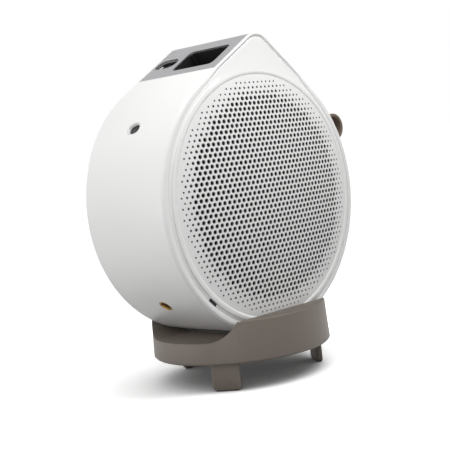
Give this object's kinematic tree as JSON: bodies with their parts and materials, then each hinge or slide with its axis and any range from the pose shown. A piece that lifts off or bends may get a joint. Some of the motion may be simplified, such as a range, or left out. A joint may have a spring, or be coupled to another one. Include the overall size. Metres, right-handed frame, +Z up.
{
  "type": "video projector",
  "caption": "Portable drum-shaped video projector with a lens flat, perforated side grilles and a carry strap, tilting in a round magnetic stand on flat legs.",
  "frame": {"origin": "on the floor, at the middle of the whole object's width and depth", "axes": "+X along the drum's axis, -Y to the front where the lens flat leans, +Z up"},
  "size_m": [0.1164, 0.1818, 0.2182],
  "materials": {
    "white_plastic": "satin moulded",
    "white_grille": "matte painted",
    "black_cloth": "woven",
    "panel_metal": "satin anodised",
    "black_plastic": "matte",
    "dark_window": "glossy",
    "optical_glass": "polished",
    "brass": "turned",
    "copper": "plain",
    "brown_leather": "smooth grain",
    "taupe_plastic": "matte",
    "black_rubber": "matte",
    "steel": "plain",
    "bright_metal": "plated",
    "sink_metal": "extruded",
    "board": "solder mask",
    "battery_wrap": "shrink wrap"
  },
  "bodies": {
    "stand": {"stand_body": "taupe_plastic", "cradle_pads": "black_rubber", "stand_base_plate": "taupe_plastic", "stand_screws": "steel", "stand_magnets": "bright_metal", "stand_weights": "steel", "stand_legs": "taupe_plastic", "foot_pads": "black_rubber"},
    "drum": {"drum_shell": "white_plastic", "side_cover_right": "white_plastic", "side_cover_left": "white_plastic", "grille_right": "white_grille", "grille_left": "white_grille", "cloth_right": "black_cloth", "cloth_left": "black_cloth", "lens_panel": "panel_metal", "lens_well": "black_plastic", "lens_barrel": "black_plastic", "rear_lens": "optical_glass", "focus_motor": "steel", "light_engine": "black_plastic", "led_module": "copper", "imager_board": "board", "heat_sink": "sink_metal", "sensor_window": "dark_window", "sensor_module": "black_plastic", "receiver_bezel": "white_plastic", "receiver_window": "dark_window", "tripod_insert": "brass", "switch_board": "board", "port_panel": "black_plastic", "port_board": "board", "hdmi_socket": "bright_metal", "usb_socket": "bright_metal", "audio_jack": "black_plastic", "carry_strap": "brown_leather", "strap_anchor": "steel", "chassis_plate": "sink_metal", "chassis_screws": "steel", "main_board": "board", "battery_pack": "battery_wrap", "fan_frame": "black_plastic", "speaker_box": "black_plastic", "woofer_frame": "steel", "woofer_magnet": "steel", "steel_bands": "steel"},
    "focus_carriage": {"focus_carriage": "black_plastic", "front_lens": "optical_glass"},
    "focus_screw": {"focus_screw": "steel"},
    "fan_rotor": {"fan_rotor": "black_plastic"},
    "woofer_cone": {"woofer_cone": "black_cloth"},
    "power_key": {"power_key": "white_plastic"},
    "volume_down_key": {"volume_down_key": "white_plastic"},
    "volume_up_key": {"volume_up_key": "white_plastic"},
    "speaker_mode_key": {"speaker_mode_key": "white_plastic"}
  },
  "joints": [
    {"name": "tilt", "type": "hinge", "parent": "stand", "child": "drum", "pos_m": [0, -0.00492, 0.1155], "axis": [1, 0, 0], "range_deg": [-61, 74]},
    {"name": "focus_screw_turn", "type": "hinge", "parent": "drum", "child": "focus_screw", "pos_m": [0.0079, -0.02013, 0.17169], "axis": [0, -0.515, 0.8572], "range_deg": [-180, 180]},
    {"name": "focus_slide", "type": "slide", "parent": "drum", "child": "focus_carriage", "axis": [0, -0.515, 0.8572], "range_m": [-0.0015, 0.0015]},
    {"name": "fan_spin", "type": "hinge", "parent": "drum", "child": "fan_rotor", "pos_m": [-0.02, 0.03109, 0.1175], "axis": [1, 0, 0], "continuous": true},
    {"name": "woofer_stroke", "type": "slide", "parent": "drum", "child": "woofer_cone", "axis": [1, 0, 0], "range_m": [-0.0012, 0.0012], "stiffness_N_per_m": 800},
    {"name": "power_key_press", "type": "slide", "parent": "drum", "child": "power_key", "axis": [0, -0.6481, -0.7615], "range_m": [0, 0.0006], "stiffness_N_per_m": 400},
    {"name": "volume_down_key_press", "type": "slide", "parent": "drum", "child": "volume_down_key", "axis": [0, -0.6481, -0.7615], "range_m": [0, 0.0006], "stiffness_N_per_m": 400},
    {"name": "volume_up_key_press", "type": "slide", "parent": "drum", "child": "volume_up_key", "axis": [0, -0.6481, -0.7615], "range_m": [0, 0.0006], "stiffness_N_per_m": 400},
    {"name": "speaker_mode_key_press", "type": "slide", "parent": "drum", "child": "speaker_mode_key", "axis": [0, -0.6481, -0.7615], "range_m": [0, 0.0006], "stiffness_N_per_m": 400}
  ],
  "couplings": [
    {"joint": "focus_screw_turn", "follows": "focus_slide", "rad_per_m": 2094.4}
  ]
}
